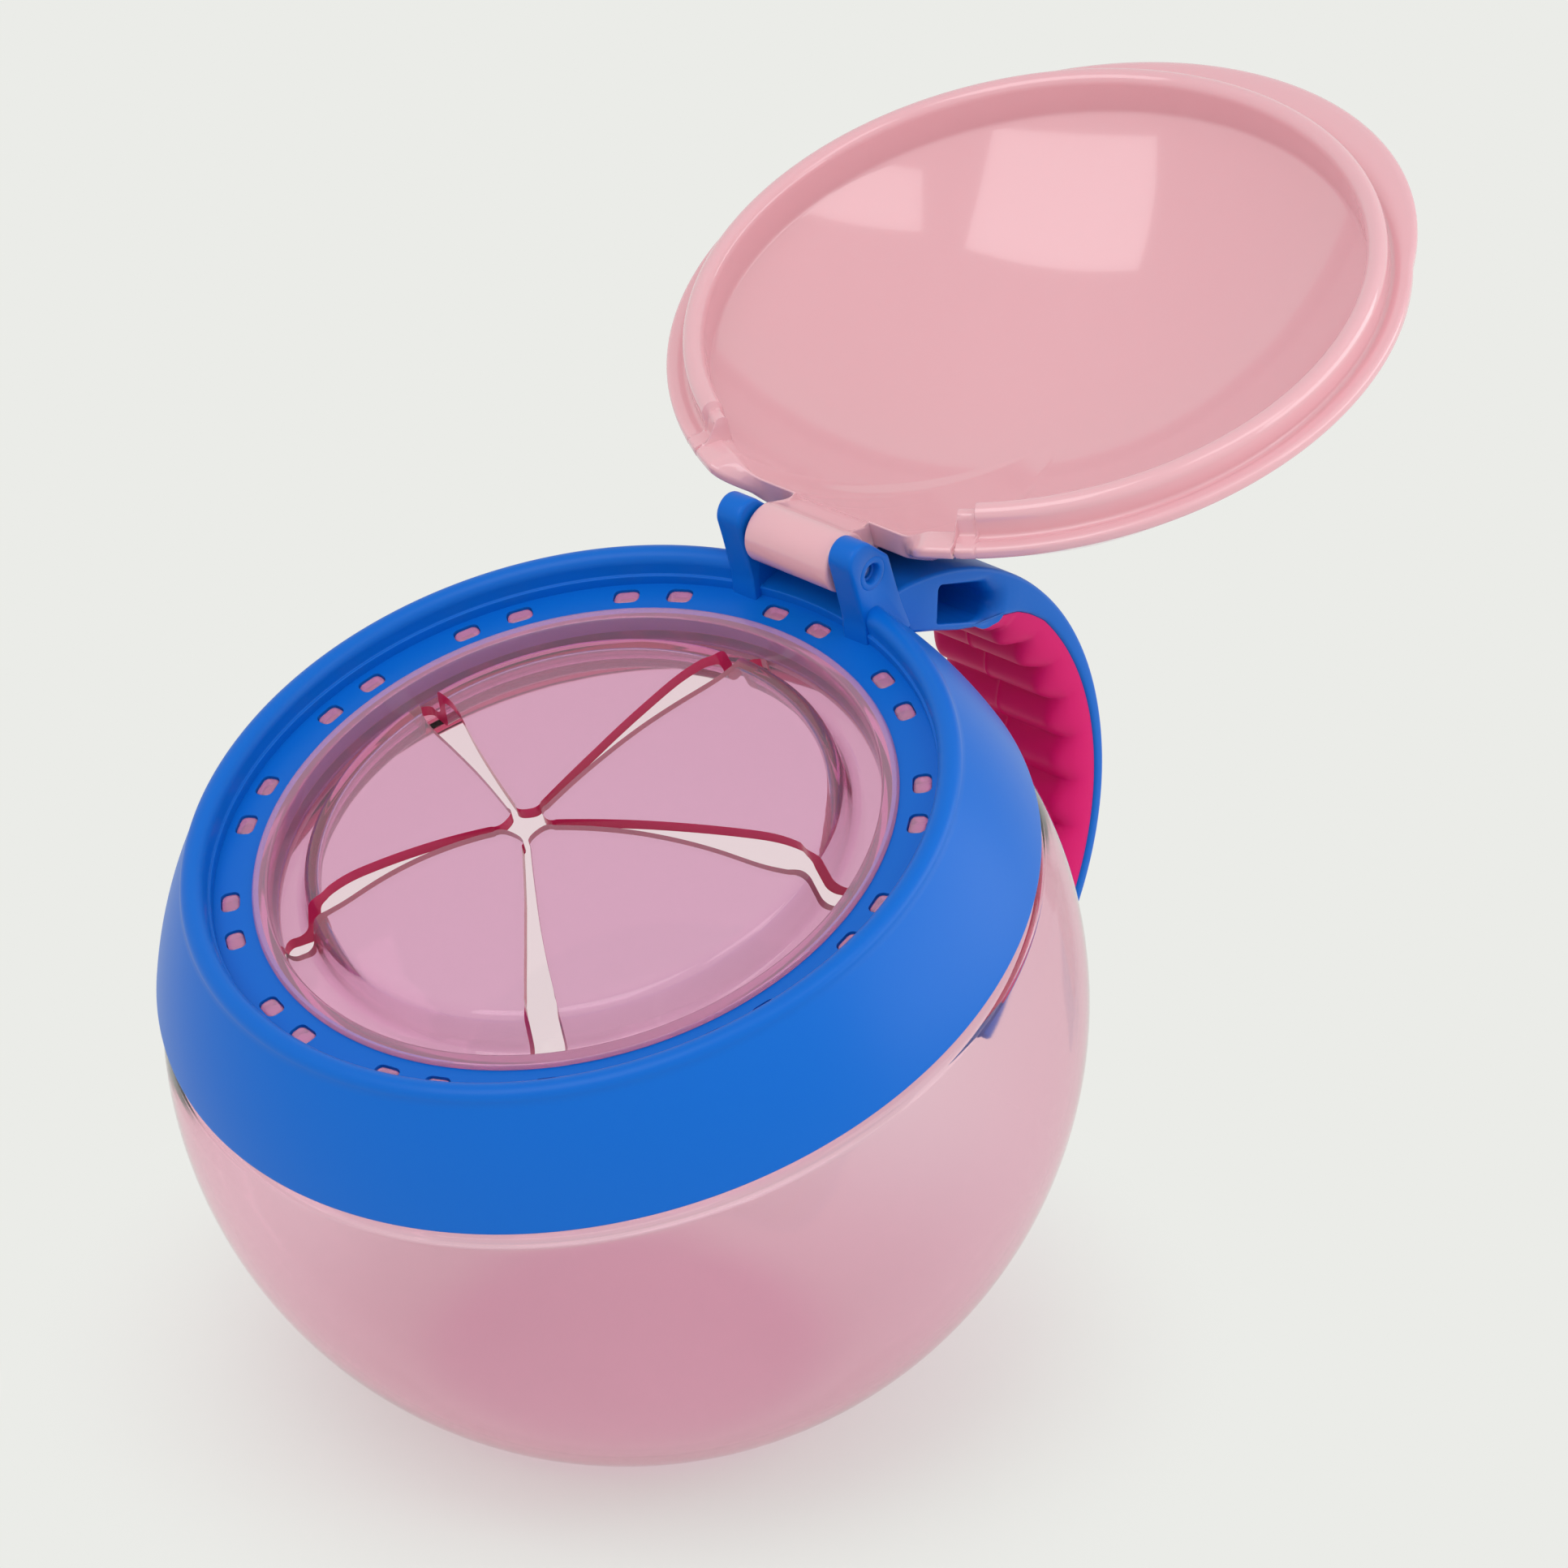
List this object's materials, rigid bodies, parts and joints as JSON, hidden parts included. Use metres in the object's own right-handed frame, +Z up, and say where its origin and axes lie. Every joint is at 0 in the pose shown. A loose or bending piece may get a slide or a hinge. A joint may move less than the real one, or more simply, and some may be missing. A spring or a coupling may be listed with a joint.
{
  "type": "toddler snack container",
  "caption": "Ball-shaped snack cup with a tilted mouth, a twist-off collar with a flapped soft membrane, a strap handle with a ridged grip and a hinged domed lid.",
  "frame": {"origin": "centre of the flat foot under the cup, on the table plane", "axes": "+Z up, +X towards the lid's hinge and the handle, and Y across them; the mirror plane of the cup, collar, handle and lid is Y = 0"},
  "size_m": [0.1539, 0.095, 0.1124],
  "materials": {
    "cup_clear": "clear gloss, tinted",
    "collar_blue": "gloss",
    "grip_magenta": "satin",
    "membrane_pink": "satin",
    "lid_pink": "gloss",
    "pin_steel": "satin"
  },
  "bodies": {
    "cup": {"cup_body": "cup_clear"},
    "head": {"collar": "collar_blue", "handle_frame": "collar_blue", "handle_grip": "grip_magenta", "membrane_ring": "membrane_pink", "hinge_pin": "pin_steel"},
    "flap_1": {"flap_1": "membrane_pink"},
    "flap_2": {"flap_2": "membrane_pink"},
    "flap_3": {"flap_3": "membrane_pink"},
    "flap_4": {"flap_4": "membrane_pink"},
    "flap_5": {"flap_5": "membrane_pink"},
    "lid": {"lid": "lid_pink"}
  },
  "joints": [
    {"name": "collar_twist", "type": "hinge", "parent": "cup", "child": "head", "pos_m": [-0.00742, 0, 0.06543], "axis": [-0.309, 0, 0.9511], "range_deg": [0, 90]},
    {"name": "lid_hinge", "type": "hinge", "parent": "head", "child": "lid", "pos_m": [0.0276, 0, 0.08448], "axis": [0, -1, 0], "range_deg": [0, 181.5]},
    {"name": "flap_1_bend", "type": "hinge", "parent": "head", "child": "flap_1", "pos_m": [0.01534, 0.0185, 0.0693], "axis": [0.5985, -0.7771, 0.1945], "range_deg": [-20, 55], "stiffness_Nm_per_rad": 0.03},
    {"name": "flap_2_bend", "type": "hinge", "parent": "head", "child": "flap_2", "pos_m": [-0.01594, 0.02762, 0.05914], "axis": [0.8937, 0.342, 0.2904], "range_deg": [-20, 55], "stiffness_Nm_per_rad": 0.03},
    {"name": "flap_3_bend", "type": "hinge", "parent": "head", "child": "flap_3", "pos_m": [-0.03433, 0, 0.05316], "axis": [0, 1, 0], "range_deg": [-20, 55], "stiffness_Nm_per_rad": 0.03},
    {"name": "flap_4_bend", "type": "hinge", "parent": "head", "child": "flap_4", "pos_m": [-0.01594, -0.02762, 0.05914], "axis": [-0.8937, 0.342, -0.2904], "range_deg": [-20, 55], "stiffness_Nm_per_rad": 0.03},
    {"name": "flap_5_bend", "type": "hinge", "parent": "head", "child": "flap_5", "pos_m": [0.01623, -0.01727, 0.06959], "axis": [-0.559, -0.809, -0.1816], "range_deg": [-20, 55], "stiffness_Nm_per_rad": 0.03}
  ]
}
